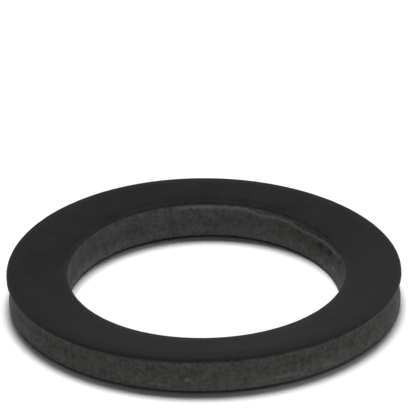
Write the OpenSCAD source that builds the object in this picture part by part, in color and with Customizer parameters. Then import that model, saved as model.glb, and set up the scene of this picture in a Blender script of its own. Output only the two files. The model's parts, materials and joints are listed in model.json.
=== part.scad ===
// Flat gasket: one rubber ring with flat sealing faces that roll gently into rounded edges, a straight bore and
// a slightly hollow outer wall. Millimetres, +Z up. The ring lies on its lower face, centred on the origin.

/* [Ring] */
// Outside diameter, measured over the lips
outer_d = 25; // [24:0.5:50]
// Bore diameter
bore_d = 18; // [8:0.5:18]
// Thickness between the two sealing faces
thickness = 2.5; // [2:0.1:6]

/* [Edges] */
// Radius of the gentle roll by which a face begins to turn down to its edges
face_roll_r = 6; // [3:0.5:6]
// Angle through which the face rolls before the tighter turn of the edge
face_roll_deg = 8; // [4:1:10]
// Radius of the tighter turn, at the outer wall
outer_edge_r = 0.2; // [0.1:0.05:0.4]
// Radius of the tighter turn, at the bore
bore_edge_r = 0.15; // [0.1:0.05:0.4]

/* [Outer wall] */
// Height of each lip's straight land, between its edge and the hollow
lip_land = 0.1; // [0.05:0.05:0.2]
// Depth of the hollow between the two lips
wall_hollow = 0.08; // [0.02:0.01:0.12]

/* [Hidden] */
$fn = 180;

outer_r = outer_d / 2;
bore_r = bore_d / 2;

// An edge is two arcs that meet in a common tangent: the face's roll, then the tighter turn of radius r.
// Its reach is measured along the face and its drop along the wall.
function edge_reach(r) = (face_roll_r - r) * sin(face_roll_deg) + r;
function edge_drop(r) = face_roll_r - (face_roll_r - r) * cos(face_roll_deg);

// The hollow is an arc whose chord runs from one lip to the other
hollow_half = thickness / 2 - edge_drop(outer_edge_r) - lip_land;
hollow_r = (pow(hollow_half, 2) + pow(wall_hollow, 2)) / (2 * wall_hollow);

// What an edge takes off a square corner of the section.
// The corner is at [x, z]; x_side and z_side are 1 or -1 and point out of the section.
module edge_waste(x, z, r, x_side, z_side) {
    reach = edge_reach(r);
    drop = edge_drop(r);
    translate([x, z])
        scale([x_side, z_side])
            difference() {
                translate([-reach, -drop]) square([2 * reach, 2 * drop]);
                intersection() {
                    translate([-reach, -face_roll_r]) circle(face_roll_r);
                    translate([-reach, -drop]) square([face_roll_r * sin(face_roll_deg), drop]);
                }
                translate([-r, -drop]) circle(r);
            }
}

// Half of the ring's section: X is the distance from the axis, Y is the height
module ring_section() {
    difference() {
        translate([bore_r, 0]) square([outer_r - bore_r, thickness]);
        edge_waste(outer_r, thickness, outer_edge_r, 1, 1);
        edge_waste(outer_r, 0, outer_edge_r, 1, -1);
        edge_waste(bore_r, thickness, bore_edge_r, -1, 1);
        edge_waste(bore_r, 0, bore_edge_r, -1, -1);
        translate([outer_r + hollow_r - wall_hollow, thickness / 2]) circle(hollow_r);
    }
}

module gasket_ring() {
    color([0.16, 0.17, 0.165]) rotate_extrude() ring_section();
}

gasket_ring();
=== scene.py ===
import bpy
import json
import math
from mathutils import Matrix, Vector, noise


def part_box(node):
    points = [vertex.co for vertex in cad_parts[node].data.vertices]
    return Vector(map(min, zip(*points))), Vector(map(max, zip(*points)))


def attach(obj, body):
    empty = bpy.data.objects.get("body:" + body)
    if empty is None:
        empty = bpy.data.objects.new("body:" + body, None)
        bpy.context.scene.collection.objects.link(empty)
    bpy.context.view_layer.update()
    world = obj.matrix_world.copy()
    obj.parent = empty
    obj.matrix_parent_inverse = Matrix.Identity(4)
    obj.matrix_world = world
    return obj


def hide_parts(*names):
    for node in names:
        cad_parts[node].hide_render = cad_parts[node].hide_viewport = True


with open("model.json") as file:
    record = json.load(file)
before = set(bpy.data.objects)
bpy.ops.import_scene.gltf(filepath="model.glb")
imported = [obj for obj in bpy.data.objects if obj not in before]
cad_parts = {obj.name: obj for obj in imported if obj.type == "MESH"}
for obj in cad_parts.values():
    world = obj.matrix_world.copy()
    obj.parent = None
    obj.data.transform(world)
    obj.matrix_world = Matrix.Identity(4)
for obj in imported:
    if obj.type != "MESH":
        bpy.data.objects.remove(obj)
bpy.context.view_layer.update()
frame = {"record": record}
mm = 0.001


def hexColor(code):  # sRGB hex to the linear colour that the shader wants
    parts = [int(code[i:i + 2], 16) / 255 for i in (1, 3, 5)]
    return [c / 12.92 if c <= 0.04045 else ((c + 0.055) / 1.055) ** 2.4 for c in parts] + [1.0]


def addNode(tree, kind, settings={}, links={}):  # one node with its settings and what feeds it
    node = tree.nodes.new(kind)
    for name, value in settings.items():
        if isinstance(name, str) and hasattr(node, name):
            setattr(node, name, value)
        else:
            node.inputs[name].default_value = value
    for name, source in links.items():
        tree.links.new(source, node.inputs[name])
    return node


def newMaterial(name):
    material = bpy.data.materials.new(name)
    material.use_nodes = True
    material.node_tree.nodes.clear()
    return material, material.node_tree


def smoothStep(low, high, value):  # 0 at low, 1 at high, whichever is the greater
    t = min(1.0, max(0.0, (value - low) / (high - low)))
    return t * t * (3 - 2 * t)


# Camera: long macro lens, a little over a quarter of the way up
view = {
    "elevation": 27.5,         # degrees above the table
    "roll": -0.92,             # the camera hung slightly to its right
    "distance": 750 * mm,
    "pixelsPerMm": 15.71,      # scale at the ring's centre
    "frame": 408,              # pixels each way
    "ringAt": (204.3, 302.1),  # pixel of the ring's centre on the table
    "sensor": 36.0,
    "clip": (0.01, 20),        # nearest and farthest seen, in metres
}


def placeCamera(v):
    tilt, roll = math.radians(v["elevation"]), math.radians(v["roll"])
    back = Vector((0, -math.cos(tilt), math.sin(tilt)))
    right = Vector((1, 0, 0))
    up = back.cross(right)
    perMetre = v["pixelsPerMm"] / mm
    across = (v["ringAt"][0] - v["frame"] / 2) / perMetre
    along = (v["frame"] / 2 - v["ringAt"][1]) / perMetre
    aim = -right * (across * math.cos(roll) - along * math.sin(roll))
    aim -= up * (across * math.sin(roll) + along * math.cos(roll))
    spot = back * v["distance"]
    bpy.ops.object.camera_add(location=spot)
    camera = bpy.context.object
    camera.rotation_euler = (aim - spot).to_track_quat("-Z", "Y").to_euler()
    camera.rotation_euler.rotate_axis("Z", roll)
    camera.data.sensor_width = v["sensor"]
    camera.data.lens = v["sensor"] * perMetre * v["distance"] / v["frame"]
    camera.data.clip_start, camera.data.clip_end = v["clip"]
    bpy.context.scene.camera = camera
    print("camera: lens %.0f mm" % camera.data.lens)


bpy.ops.object.select_all(action="DESELECT")
placeCamera(view)

# Ring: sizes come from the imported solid, edges and hollow repeat its section
solidLow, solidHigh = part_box("gasket_ring")
boreMount = [m for m in frame["record"]["mounts"] if m["name"] == "bore"][0]
ring = {
    "outerR": solidHigh[0],
    "boreR": boreMount["dims"]["r_mm"] * mm,
    "thickness": solidHigh[2],
    "rollR": 6 * mm,           # gentle roll of a face, then the tighter turn of its edge
    "roll": math.radians(8),
    "outerEdge": 0.2 * mm,
    "boreEdge": 0.15 * mm,
    "lipLand": 0.1 * mm,
    "hollow": 0.08 * mm,
    "rollSteps": 6, "edgeSteps": 5, "outerRows": 20, "boreRows": 40, "faceRows": 5,
    "turnSteps": 100,          # in an eighth of the turn
    "weld": 0.001 * mm,        # points nearer than this become one
    "margin": 1.01,            # takes in the points at the very end of an edge
}


def edgeReach(r, edge):  # how far an edge reaches along the face
    return (r["rollR"] - edge) * math.sin(r["roll"]) + edge


def edgeDrop(r, edge):  # how far it drops down the wall
    return r["rollR"] - (r["rollR"] - edge) * math.cos(r["roll"])


def drawLine(across, up, rows):  # draws on from the section's last point
    for i in range(rows):
        bpy.ops.mesh.extrude_region_move(TRANSFORM_OT_translate={"value": (across / rows, 0, up / rows)})


def drawArc(x, z, angle, steps):
    bpy.ops.mesh.spin(steps=steps, angle=angle, center=(x, 0, z), axis=(0, -1, 0))


def drawSection(r):
    outer, bore, top = r["outerR"], r["boreR"], r["thickness"]
    roll, turn, rollR = r["roll"], math.pi / 2 - r["roll"], r["rollR"]
    outReach, outDrop = edgeReach(r, r["outerEdge"]), edgeDrop(r, r["outerEdge"])
    boreReach, boreDrop = edgeReach(r, r["boreEdge"]), edgeDrop(r, r["boreEdge"])
    flat = outer - outReach - bore - boreReach
    half = top / 2 - outDrop - r["lipLand"]
    hollowR = (half ** 2 + r["hollow"] ** 2) / (2 * r["hollow"])
    bpy.ops.object.select_all(action="DESELECT")
    bpy.ops.mesh.primitive_plane_add(size=mm, location=(bore + boreReach, 0, top))
    piece = bpy.context.object
    piece.name = piece.data.name = "rubberRing"
    bpy.ops.object.mode_set(mode="EDIT")
    bpy.ops.mesh.select_mode(type="VERT")
    bpy.ops.mesh.merge(type="CENTER")  # the section is drawn on from this one point
    bpy.ops.object.mode_set(mode="OBJECT")
    bpy.ops.object.transform_apply(location=True, rotation=True, scale=True)
    bpy.ops.object.mode_set(mode="EDIT")
    bpy.ops.mesh.select_all(action="SELECT")
    drawLine(flat, 0, r["faceRows"])
    drawArc(outer - outReach, top - rollR, roll, r["rollSteps"])
    drawArc(outer - r["outerEdge"], top - outDrop, turn, r["edgeSteps"])
    drawLine(0, -r["lipLand"], 1)
    drawArc(outer + hollowR - r["hollow"], top / 2, -2 * math.asin(half / hollowR), r["outerRows"])
    drawLine(0, -r["lipLand"], 1)
    drawArc(outer - r["outerEdge"], outDrop, turn, r["edgeSteps"])
    drawArc(outer - outReach, rollR, roll, r["rollSteps"])
    drawLine(-flat, 0, r["faceRows"])
    drawArc(bore + boreReach, rollR, roll, r["rollSteps"])
    drawArc(bore + r["boreEdge"], boreDrop, turn, r["edgeSteps"])
    drawLine(0, top - 2 * boreDrop, r["boreRows"])
    drawArc(bore + r["boreEdge"], top - boreDrop, turn, r["edgeSteps"])
    drawArc(bore + boreReach, top - rollR, roll, r["rollSteps"])
    bpy.ops.mesh.select_all(action="SELECT")
    bpy.ops.mesh.remove_doubles(threshold=r["weld"])
    bpy.ops.object.mode_set(mode="OBJECT")
    print("section: %d points, %d edges" % (len(piece.data.vertices), len(piece.data.edges)))
    return piece


def spinSection(piece, r):
    bpy.ops.object.mode_set(mode="EDIT")
    bpy.ops.mesh.select_all(action="SELECT")
    turn = math.pi / 4
    bpy.ops.mesh.spin(steps=r["turnSteps"], angle=turn, center=(0, 0, 0), axis=(0, 0, 1))
    for doubling in range(3):  # the eighth is copied round until the ring closes
        bpy.ops.mesh.select_all(action="SELECT")
        bpy.ops.mesh.duplicate()
        bpy.ops.transform.rotate(value=turn, orient_axis="Z", center_override=(0, 0, 0))
        turn *= 2
    bpy.ops.mesh.select_all(action="SELECT")
    bpy.ops.mesh.remove_doubles(threshold=r["weld"])
    bpy.ops.mesh.normals_make_consistent(inside=False)
    bpy.ops.object.mode_set(mode="OBJECT")
    bpy.ops.object.shade_smooth()
    print("ring: %d faces" % len(piece.data.polygons))


gasket = drawSection(ring)
spinSection(gasket, ring)

# Sample: how the ring in hand departs from a true one.
# Angles are in degrees, 0 at the right and 90 at the back.
sample = {
    "boreScale": (0.982, 1.026),            # hole a little narrow across and long in depth
    "boreShift": (0.186 * mm, -0.23 * mm),  # hole punched off centre
    "boreSlant": -0.4 * mm,                 # its right wall aslant, the foot to the left
    "wallSlant": 0.11 * mm,                 # the foot of the outer wall drawn in at the left
    "lipFlare": 0.005,                      # share by which the upper lip stands out to the sides
    "lean": (-0.026 * mm, 0.055 * mm),      # rise of the upper face to the right and to the back
    "twist": (-0.10 * mm, -0.075 * mm),     # its bend, along the axes and between them
    "riseMost": 0.25 * mm,                  # more than any point rises or sinks
    # where a cut wall begins and where it is full, in drops of its edge
    "boreCut": (0.5, 1.25), "outerCut": (0.75, 1.7),
    "footCut": (0.4, 1.0),                  # below, the cut goes nearly to the foot
    "worn": 0.2, "wornCut": (0.1, 0.5),     # share of their skin that the lips have lost
    "wave": 0.04 * mm, "waveSize": 2.1 * mm,     # slow unevenness of the cut
    "grain": 0.025 * mm, "grainSize": 0.3 * mm,  # torn grain of the cut
    "borePaintedLightFade": (75, 30),                  # painted shade: the hole's painted light thins out to the right between these angles
    # flash line left in the bore, angle and height in mm
    "flash": ((106, 2.20), (97, 2.15), (73, 2.18), (70, 2.08), (67, 1.93), (58, 2.04),
              (52, 2.02), (45, 1.79), (37, 1.85), (28, 1.92), (18, 1.95), (12, 2.05)),
    "flashWidth": 0.10 * mm, "flashRise": 0.04 * mm,
    "flashFade": 8,                         # degrees over which it fades at each end
    # its wavering (height in mm, waves per degree, place in the noise), and how ragged that leaves it
    "flashWaver": ((0.06, 0.4, 0.0, 7.7), (0.05, 1.1, 5.0, 2.3)),
    "flashRag": (0.9, 3.1, 0.0), "flashRagWidth": 0.4, "flashStrength": 0.75, "flashRagStrength": 0.5,
    # at the right the face's skin reaches down to the flash line: share, angles at its two ends
    "skin": 0.15, "skinBack": (56, 42), "skinRight": (12, 18), "skinBlend": 0.12 * mm,
    # nicks: wall, angle, height, reach round the wall and up it in mm, raised (+) or sunk (-) by this share
    "nicks": (
        ("bore", 33.2, 1.50, 0.24, 0.18, -0.85), ("bore", 24.8, 1.53, 0.26, 0.20, -0.85),
        ("bore", 13.0, 1.72, 0.18, 0.18, -0.8),
        ("bore", 29.5, 0.52, 0.40, 0.09, 0.5), ("bore", 20.0, 0.80, 0.50, 0.11, 0.6),
        ("bore", 77.0, 0.46, 0.50, 0.10, 0.5), ("bore", 63.0, 0.36, 0.60, 0.08, 0.5),
        ("bore", 172.8, 2.05, 0.25, 0.12, 0.6), ("bore", 174.0, 1.14, 0.25, 0.15, 0.6),
        ("outer", 264.6, 0.96, 0.14, 0.12, 0.9), ("outer", 269.6, 1.12, 0.10, 0.10, 0.4),
        ("outer", 257.0, 0.55, 0.90, 0.07, 0.4), ("outer", 293.0, 0.62, 1.10, 0.09, 0.6),
        ("outer", 308.0, 0.55, 0.50, 0.12, 0.6),
    ),
    "nickSpan": 30,                         # degrees past which a nick has died away
    "nickRag": 0.5, "nickRagSize": 0.12 * mm,
    "pitDepth": 0.06 * mm,
}


def angleOf(co):
    return math.degrees(math.atan2(co.y, co.x))


def fromAxis(co):
    return math.hypot(co.x, co.y)


def fromFace(co, r):  # how far a point is from the nearer face
    return min(co.z, r["thickness"] - co.z)


def inBore(co, r):
    return fromAxis(co) < (r["outerR"] + r["boreR"]) / 2


def pick(mesh, test):  # selects the points that pass a test
    bpy.ops.object.mode_set(mode="EDIT")
    bpy.ops.mesh.select_mode(type="VERT")
    bpy.ops.mesh.select_all(action="DESELECT")
    bpy.ops.object.mode_set(mode="OBJECT")
    for vertex in mesh.vertices:
        vertex.select = test(vertex)
    bpy.ops.object.mode_set(mode="EDIT")


def punchHole(piece, r, s):  # the bore and its edges move as one, the rows of the faces follow less and less
    inner = r["boreR"] + edgeReach(r, r["boreEdge"])
    rows = r["faceRows"]
    gap = (r["outerR"] - edgeReach(r, r["outerEdge"]) - inner) / rows
    away = [fromAxis(vertex.co) for vertex in piece.data.vertices]
    stretch = [1 + (share - 1) / rows for share in (*s["boreScale"], 1)]
    shift = [move / rows for move in (*s["boreShift"], 0)]
    for row in range(rows):
        pick(piece.data, lambda vertex: away[vertex.index] < inner + (row + 0.5) * gap)
        bpy.ops.transform.resize(value=stretch, center_override=(0, 0, 0))
        bpy.ops.transform.translate(value=shift)
    bpy.ops.object.mode_set(mode="OBJECT")


def flareLip(piece, r, s):
    inside = r["outerR"] - r["margin"] * edgeReach(r, r["outerEdge"])
    below = r["thickness"] - edgeDrop(r, r["outerEdge"]) - 1.5 * r["lipLand"]  # half a land under the lip
    pick(piece.data, lambda vertex: fromAxis(vertex.co) > inside and vertex.co.z > below)
    bpy.ops.transform.resize(value=(1 + s["lipFlare"], 1, 1), center_override=(0, 0, 0))
    bpy.ops.object.mode_set(mode="OBJECT")


def wallWeight(co, r, s):  # 1 on the cut walls, 0 on the faces, whose skin wraps the outer lips
    edge, cut = ("boreEdge", "boreCut") if inBore(co, r) else ("outerEdge", "outerCut")
    if co.z < r["thickness"] / 2:
        cut = "footCut"
    depth = fromFace(co, r) / edgeDrop(r, r[edge])
    return max(s["worn"] * smoothStep(*s["wornCut"], depth), smoothStep(*s[cut], depth))


# painted light: 1 inside the hole, where the wall is painted paler, faded out to the right as painted shade
def borePaintedLightMask(co, r, s):
    return 1 - smoothStep(*s["borePaintedLightFade"], abs(angleOf(co))) if inBore(co, r) else 0.0


def flashHeight(co, r, s):  # height of the torn line at a point's angle, none where it doesn't run
    angle = angleOf(co)
    for (a, za), (b, zb) in zip(s["flash"], s["flash"][1:]):
        if b < angle < a and inBore(co, r):
            height = za + (zb - za) * (a - angle) / (a - b)
            for size, rate, *spot in s["flashWaver"]:
                height += size * noise.noise(Vector((angle * rate, *spot)))
            return height * mm
    return None


def flashWeight(co, r, s):  # ragged ridge along the flash line
    angle, height = angleOf(co), flashHeight(co, r, s)
    if height is None:
        return 0.0
    first, last, fade = s["flash"][0][0], s["flash"][-1][0], s["flashFade"]
    rate, *spot = s["flashRag"]
    ragged = noise.noise(Vector((angle * rate, *spot)))
    ends = smoothStep(last, last + fade, angle) * (1 - smoothStep(first - fade, first, angle))
    off = (co.z - height) / (s["flashWidth"] * (1 + s["flashRagWidth"] * ragged))
    return ends * max(0.0, s["flashStrength"] + s["flashRagStrength"] * ragged) * math.exp(-off * off)


def skinWeight(co, r, s):  # skin left between the face and the flash line
    angle, height = angleOf(co), flashHeight(co, r, s)
    if height is None:
        return 0.0
    side = smoothStep(*s["skinBack"], angle) * smoothStep(*s["skinRight"], angle)
    return s["skin"] * side * smoothStep(height, height + s["skinBlend"], co.z)


def nickWeight(co, nick, s):  # round or drawn out mark on a wall
    angle, height, around, up = nick[1:5]
    turn = (angleOf(co) - angle + 180) % 360 - 180
    if abs(turn) > s["nickSpan"]:
        return 0.0
    side, rise = math.radians(turn) * fromAxis(co) / mm / around, (co.z / mm - height) / up
    ragged = 1 + s["nickRag"] * noise.noise(co / s["nickRagSize"])
    return ragged * math.exp(-side * side - rise * rise)


def nicksOf(co, r, s, sign):  # all marks that stand out (1) or are sunk (-1)
    wall = "bore" if inBore(co, r) else "outer"
    marks = [nick for nick in s["nicks"] if nick[0] == wall and nick[5] * sign > 0]
    return sum(abs(nick[5]) * nickWeight(co, nick, s) for nick in marks) * wallWeight(co, r, s)


def boreSlantWeight(co, r):  # 1 at the foot of the bore at the right, 0 at its top and at the left
    near = fromAxis(co) < r["boreR"] + r["margin"] * edgeReach(r, r["boreEdge"])
    return (1 - co.z / r["thickness"]) * max(0.0, co.x / r["boreR"]) if near else 0.0


def wallSlantWeight(co, r):  # the same for the outer wall, at the left and mostly near its foot
    near = fromAxis(co) > r["outerR"] - r["margin"] * edgeReach(r, r["outerEdge"])
    return (1 - co.z / r["thickness"]) ** 2 * max(0.0, -co.x / r["outerR"]) if near else 0.0


def faceRise(co, r, s):  # rise of the upper face, fading out to the lower one
    across, deep = co.x / r["outerR"], co.y / r["outerR"]
    rise = s["lean"][0] * across + s["lean"][1] * deep
    rise += s["twist"][0] * (across ** 2 - deep ** 2) + s["twist"][1] * 2 * across * deep
    return rise * co.z / r["thickness"]


def push(piece, name, direction, depth, weigh, size=None):  # moves the surface, weighed by place
    group = piece.vertex_groups.new(name=name)
    for vertex in piece.data.vertices:
        weight = min(1.0, weigh(vertex.co))
        if weight > 0:
            group.add([vertex.index], weight, "REPLACE")
    lift = piece.modifiers.new(name, "DISPLACE")
    lift.direction, lift.vertex_group, lift.strength, lift.mid_level = direction, name, depth, 0.0
    if size:  # a cloud pattern moves it both ways
        cloud = bpy.data.textures.new(name, "CLOUDS")
        cloud.noise_scale, cloud.noise_depth = size, 1
        lift.texture, lift.texture_coords, lift.mid_level = cloud, "LOCAL", 0.5
    bpy.ops.object.modifier_apply(modifier=name)
    piece.vertex_groups.clear()


def markPlaces(piece, r, s):  # the finish reads these
    marks = {
        "cut": lambda co: wallWeight(co, r, s) * (1 - skinWeight(co, r, s)),
        # the bore mark carries the hole's painted light, faded out to the right as painted shade
        "bore": lambda co: borePaintedLightMask(co, r, s),
        # painted shade in the sunk nicks
        "dark": lambda co: min(1.0, nicksOf(co, r, s, -1)),
        "pale": lambda co: min(1.0, flashWeight(co, r, s) + nicksOf(co, r, s, 1)),
    }
    for name, weigh in marks.items():
        mark = piece.data.attributes.new(name, "FLOAT", "POINT")
        for vertex in piece.data.vertices:
            mark.data[vertex.index].value = weigh(vertex.co)


def ageRing(piece, r, s):
    most = s["riseMost"]
    markPlaces(piece, r, s)
    push(piece, "flashLine", "NORMAL", s["flashRise"],
         lambda co: flashWeight(co, r, s) + nicksOf(co, r, s, 1))
    push(piece, "pits", "NORMAL", -s["pitDepth"], lambda co: nicksOf(co, r, s, -1))
    push(piece, "boreSlant", "X", s["boreSlant"], lambda co: boreSlantWeight(co, r))
    push(piece, "wave", "NORMAL", s["wave"], lambda co: wallWeight(co, r, s), s["waveSize"])
    push(piece, "grain", "NORMAL", s["grain"], lambda co: wallWeight(co, r, s), s["grainSize"])
    punchHole(piece, r, s)
    flareLip(piece, r, s)
    push(piece, "wallSlant", "X", s["wallSlant"], lambda co: wallSlantWeight(co, r))
    push(piece, "highSide", "Z", most, lambda co: faceRise(co, r, s) / most)
    push(piece, "lowSide", "Z", -most, lambda co: -faceRise(co, r, s) / most)
    print("sample: %d faces" % len(piece.data.polygons))


ageRing(gasket, ring, sample)

# Black nitrile rubber sheet: pressed faces are smooth and matt, cut walls are torn and paler; dust and
# painted light pale the walls' foot, and more light and shade are painted on the face, in the hole and in
# the pits
finish = {
    "faceDark": "#0e100f", "faceLight": "#212222",
    "paintedFrontLight": "#232524",                                     # painted light: the face painted paler towards the front and right
    "paintedFrontLightLean": -0.35, "paintedFrontLightFrom": 0.3, "paintedFrontLightMost": 0.95,  # from this share of the radius on
    "wallDark": "#323331", "wallLight": "#4e504c",
    "boreDark": "#3e3f3d", "boreLight": "#5b5d5a",          # painted light: the cut wall painted paler inside the hole, where less light reaches it
    "footDark": "#4b4d4a", "footLight": "#71746f",          # dust at the foot of the outer wall, and painted light lifting the shade there
    "boreFootDark": "#5a5c59", "boreFootLight": "#888b86",  # painted light: much paler at the foot in the hole, against the shade there
    "footHeight": 1.3 * mm, "footDustAndLightMost": 0.8,
    "boreFootLightPower": 2.2, "boreFootLightGain": 2.2,              # painted light: in the hole it is stronger and kept nearer the table
    "pale": "#6a6d68",                                      # flash and scuffs
    "dark": "#191a19",                                      # painted shade in the sunk nicks and pits
    "faceRough": (0.42, 0.6), "wallRough": 0.65,
    "shine": 0.028,                                         # a dull skin, filled with soot, mirrors little
    # spots 1.6 mm and 0.3 mm wide on the faces, 0.24 mm and 0.9 mm on the walls
    "faceCloud": {"Scale": 1 / (1.6 * mm), "Detail": 4},
    "faceGrain": {"Scale": 1 / (0.3 * mm), "Detail": 2},
    "wallGrain": {"Scale": 1 / (0.24 * mm), "Detail": 2},
    "wallPatch": {"Scale": 1 / (0.9 * mm), "Detail": 3},
    "speckleShare": 0.6, "mottleRange": {"From Min": 0.54, "From Max": 1.06},
    "patchShare": 0.55, "tornRange": {"From Min": 0.46, "From Max": 1.09},
    "bump": {"Strength": 0.5, "Distance": 0.02 * mm},
}


def rubberMaterial(f, r):
    material, tree = newMaterial("nitrileRubber")
    place = addNode(tree, "ShaderNodeTexCoord").outputs["Object"]
    axes = addNode(tree, "ShaderNodeSeparateXYZ", {}, {0: place}).outputs
    cut, bore, dark, pale = [
        addNode(tree, "ShaderNodeAttribute", {"attribute_name": name}).outputs["Fac"]
        for name in ("cut", "bore", "dark", "pale")]
    cloud, speckle, grain, patch = [
        addNode(tree, "ShaderNodeTexNoise", f[name], {"Vector": place}).outputs["Fac"]
        for name in ("faceCloud", "faceGrain", "wallGrain", "wallPatch")]
    sums = ((speckle, f["speckleShare"], cloud), (patch, f["patchShare"], grain),
            (axes["X"], f["paintedFrontLightLean"], axes["Y"]))
    mottle, torn, front = [
        addNode(tree, "ShaderNodeMath", {"operation": "MULTIPLY_ADD", 1: share},
                {0: part, 2: rest}).outputs[0]
        for part, share, rest in sums]
    skinRange = {**f["mottleRange"], "To Min": f["faceRough"][0], "To Max": f["faceRough"][1]}
    paintedFrontLightRange = {"From Min": f["paintedFrontLightFrom"] * r["outerR"], "From Max": -r["outerR"],
                  "To Max": f["paintedFrontLightMost"]}
    footRange = {"From Min": f["footHeight"], "From Max": 0, "To Max": f["footDustAndLightMost"]}
    ranges = ((mottle, f["mottleRange"]), (mottle, skinRange), (torn, f["tornRange"]),
              (front, paintedFrontLightRange), (axes["Z"], footRange))
    spots, skin, ragged, paintedFrontLight, foot = [
        addNode(tree, "ShaderNodeMapRange", span, {"Value": value}).outputs[0] for value, span in ranges]
    # paler towards the foot: dust and painted light on the outer wall, much stronger painted light low in
    # the hole
    low = addNode(tree, "ShaderNodeMath", {"operation": "POWER", 1: f["boreFootLightPower"]},
                  {0: foot}).outputs[0]
    thick = addNode(tree, "ShaderNodeMath", {"operation": "MULTIPLY", 1: f["boreFootLightGain"]},
                    {0: low}).outputs[0]
    footDustAndPaintedLight = addNode(tree, "ShaderNodeMix", {}, {0: bore, 2: foot, 3: thick}).outputs[0]

    mix = {"data_type": "RGBA"}
    walls = []
    for tone in ("Dark", "Light"):  # clean colour and foot colour of dust and painted light, each blended from the outer wall to the bore's paler painted colour
        clean, dustAndPaintedLightColour = [
            addNode(tree, "ShaderNodeMix",
                    {**mix, 6: hexColor(f[outside + tone]), 7: hexColor(f[inside + tone])},
                    {0: bore}).outputs[2]
            for outside, inside in (("wall", "bore"), ("foot", "boreFoot"))]
        walls.append(addNode(tree, "ShaderNodeMix", mix, {0: footDustAndPaintedLight, 6: clean, 7: dustAndPaintedLightColour}).outputs[2])
    wall = addNode(tree, "ShaderNodeMix", mix, {0: ragged, 6: walls[0], 7: walls[1]}).outputs[2]
    wall = addNode(tree, "ShaderNodeMix", {**mix, 7: hexColor(f["pale"])}, {0: pale, 6: wall}).outputs[2]
    face = addNode(tree, "ShaderNodeMix", {**mix, 6: hexColor(f["faceDark"]), 7: hexColor(f["faceLight"])},
                   {0: spots}).outputs[2]
    # painted light: the face is painted paler towards the front and right
    face = addNode(tree, "ShaderNodeMix", {**mix, 7: hexColor(f["paintedFrontLight"])}, {0: paintedFrontLight, 6: face}).outputs[2]
    colour = addNode(tree, "ShaderNodeMix", mix, {0: cut, 6: face, 7: wall}).outputs[2]
    # painted shade darkens the sunk nicks
    colour = addNode(tree, "ShaderNodeMix", {**mix, 7: hexColor(f["dark"])}, {0: dark, 6: colour}).outputs[2]
    rough = addNode(tree, "ShaderNodeMix", {3: f["wallRough"]}, {0: cut, 2: skin}).outputs[0]
    bump = addNode(tree, "ShaderNodeBump", f["bump"], {"Height": grain}).outputs[0]
    shader = addNode(tree, "ShaderNodeBsdfPrincipled", {"Specular IOR Level": f["shine"]},
                     {"Base Color": colour, "Roughness": rough, "Normal": bump})
    addNode(tree, "ShaderNodeOutputMaterial", {}, {"Surface": shader.outputs[0]})
    print("rubber: %d nodes" % len(tree.nodes))
    return material


gasket.data.materials.append(rubberMaterial(finish, ring))
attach(gasket, "root")
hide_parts("gasket_ring")

# Table: smooth white card with no edge in sight, a flat white that only takes the shadow
table = {"size": 4.0, "colour": "#ffffff"}


def layTable(t):
    bpy.ops.mesh.primitive_plane_add(size=t["size"])
    card = bpy.context.object
    card.name = card.data.name = "tableCard"
    material, tree = newMaterial("whiteCard")
    shader = addNode(tree, "ShaderNodeBsdfDiffuse", {"Color": hexColor(t["colour"])})
    addNode(tree, "ShaderNodeOutputMaterial", {}, {"Surface": shader.outputs[0]})
    card.data.materials.append(material)


# Light: a soft box high behind the ring, a long dim strip beside it, a low white card in front, a dim room.
# The camera and reflections see a plain white surrounding instead, and no lamp leaves a highlight.
lamps = {
    "softBox": {"at": (0, 208 * mm, 570 * mm), "size": (210 * mm, 235 * mm), "level": 0.99},
    "longStrip": {"at": (25 * mm, 165 * mm, 570 * mm), "size": (1140 * mm, 132 * mm), "level": 0.2},
    "frontCard": {"at": (150 * mm, -300 * mm, 14 * mm), "size": (400 * mm, 28 * mm), "level": 0.2},
}
room = {"level": 0.055, "seenLevel": 1.0, "colour": "#ffffff"}


def hangLamp(name, s):  # level 1 shows a white surface that faces the lamp as white
    spot = Vector(s["at"])
    bpy.ops.object.light_add(type="AREA", location=spot)
    box = bpy.context.object
    box.name = box.data.name = name
    box.rotation_euler = (-spot).to_track_quat("-Z", "Y").to_euler()
    box.data.shape = "ELLIPSE"
    box.data.size, box.data.size_y = s["size"]
    box.data.energy = s["level"] * math.pi ** 2 * spot.length_squared
    box.visible_glossy = False


def lightRoom(s):
    world = bpy.data.worlds.new("room")
    world.use_nodes = True
    tree = world.node_tree
    tree.nodes.clear()
    white = hexColor(s["colour"])
    rays = addNode(tree, "ShaderNodeLightPath").outputs
    seen = rays["Is Camera Ray"]
    for kind in ("Is Glossy Ray", "Is Transmission Ray"):
        seen = addNode(tree, "ShaderNodeMath", {"operation": "MAXIMUM"}, {0: seen, 1: rays[kind]}).outputs[0]
    dim = addNode(tree, "ShaderNodeBackground", {"Color": white, "Strength": s["level"]})
    tent = addNode(tree, "ShaderNodeBackground", {"Color": white, "Strength": s["seenLevel"]})
    mixed = addNode(tree, "ShaderNodeMixShader", {}, {0: seen, 1: dim.outputs[0], 2: tent.outputs[0]})
    addNode(tree, "ShaderNodeOutputWorld", {}, {"Surface": mixed.outputs[0]})
    bpy.context.scene.world = world


layTable(table)
for lampName, lamp in lamps.items():
    hangLamp(lampName, lamp)
lightRoom(room)
bpy.context.scene.view_settings.view_transform = "Standard"
print("light: %d lamps" % len(lamps))
